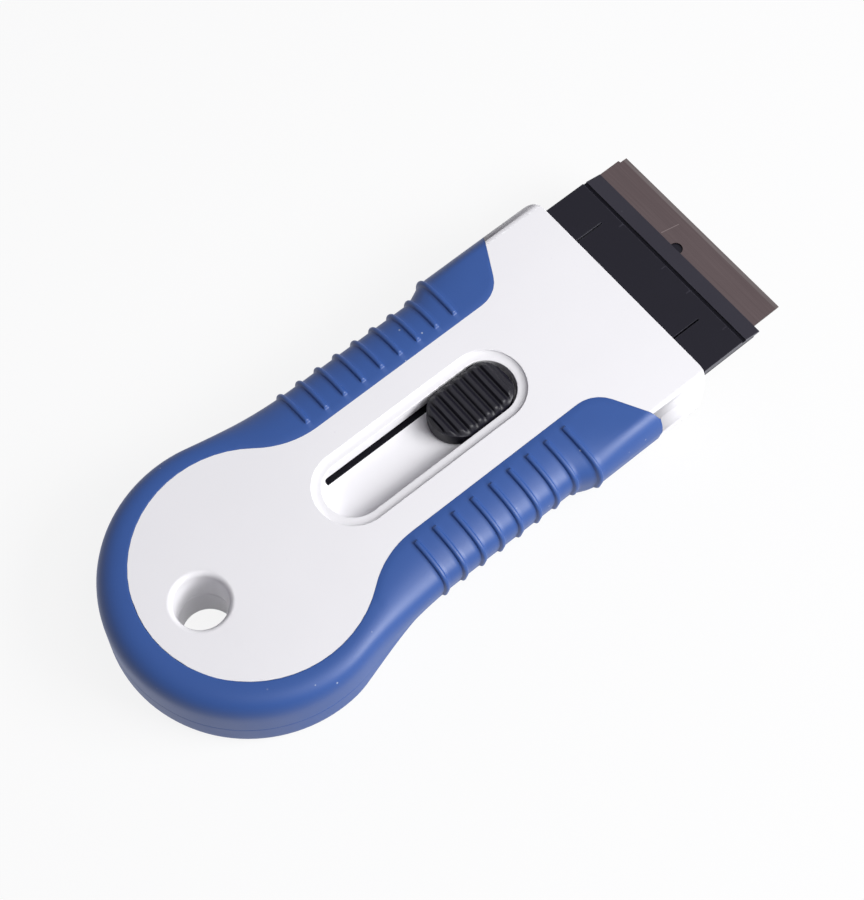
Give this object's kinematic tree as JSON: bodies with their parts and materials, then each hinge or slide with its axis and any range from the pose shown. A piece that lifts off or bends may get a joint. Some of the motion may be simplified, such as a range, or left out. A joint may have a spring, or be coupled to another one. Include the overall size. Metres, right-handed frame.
{
  "type": "retractable razor blade scraper",
  "caption": "Retractable blade scraper: waisted two-shell handle with ribbed soft grips, hanging hole and a thumb slide that moves a holder with a wide flat razor blade in and out of the mouth.",
  "frame": {"origin": "axis of the hanging hole, on the flat underside", "axes": "+X along the handle towards the blade, +Y to the left when the blade points ahead, +Z out of the top face with the thumb slide"},
  "size_m": [0.1267, 0.05, 0.016],
  "materials": {
    "shell": "satin white",
    "grip": "soft matt blue",
    "screw": "bright zinc",
    "holder": "fine grained black",
    "button": "smooth black",
    "spring": "spring steel",
    "blade": "ground carbon steel"
  },
  "bodies": {
    "handle": {"upper_shell": "shell", "lower_shell": "shell", "upper_grip": "grip", "lower_grip": "grip", "shell_screws": "screw"},
    "carriage": {"blade_carriage": "holder", "thumb_button": "button", "latch_spring": "spring", "razor_blade": "blade"},
    "cover": {"blade_cover": "holder"}
  },
  "joints": [
    {"name": "carriage_slide", "type": "slide", "parent": "handle", "child": "carriage", "axis": [1, 0, 0], "range_m": [-0.022, 0], "deforming": ["latch_spring"]},
    {"name": "cover_slide", "type": "slide", "parent": "carriage", "child": "cover", "axis": [1, 0, 0], "range_m": [0, 0.0095]}
  ]
}
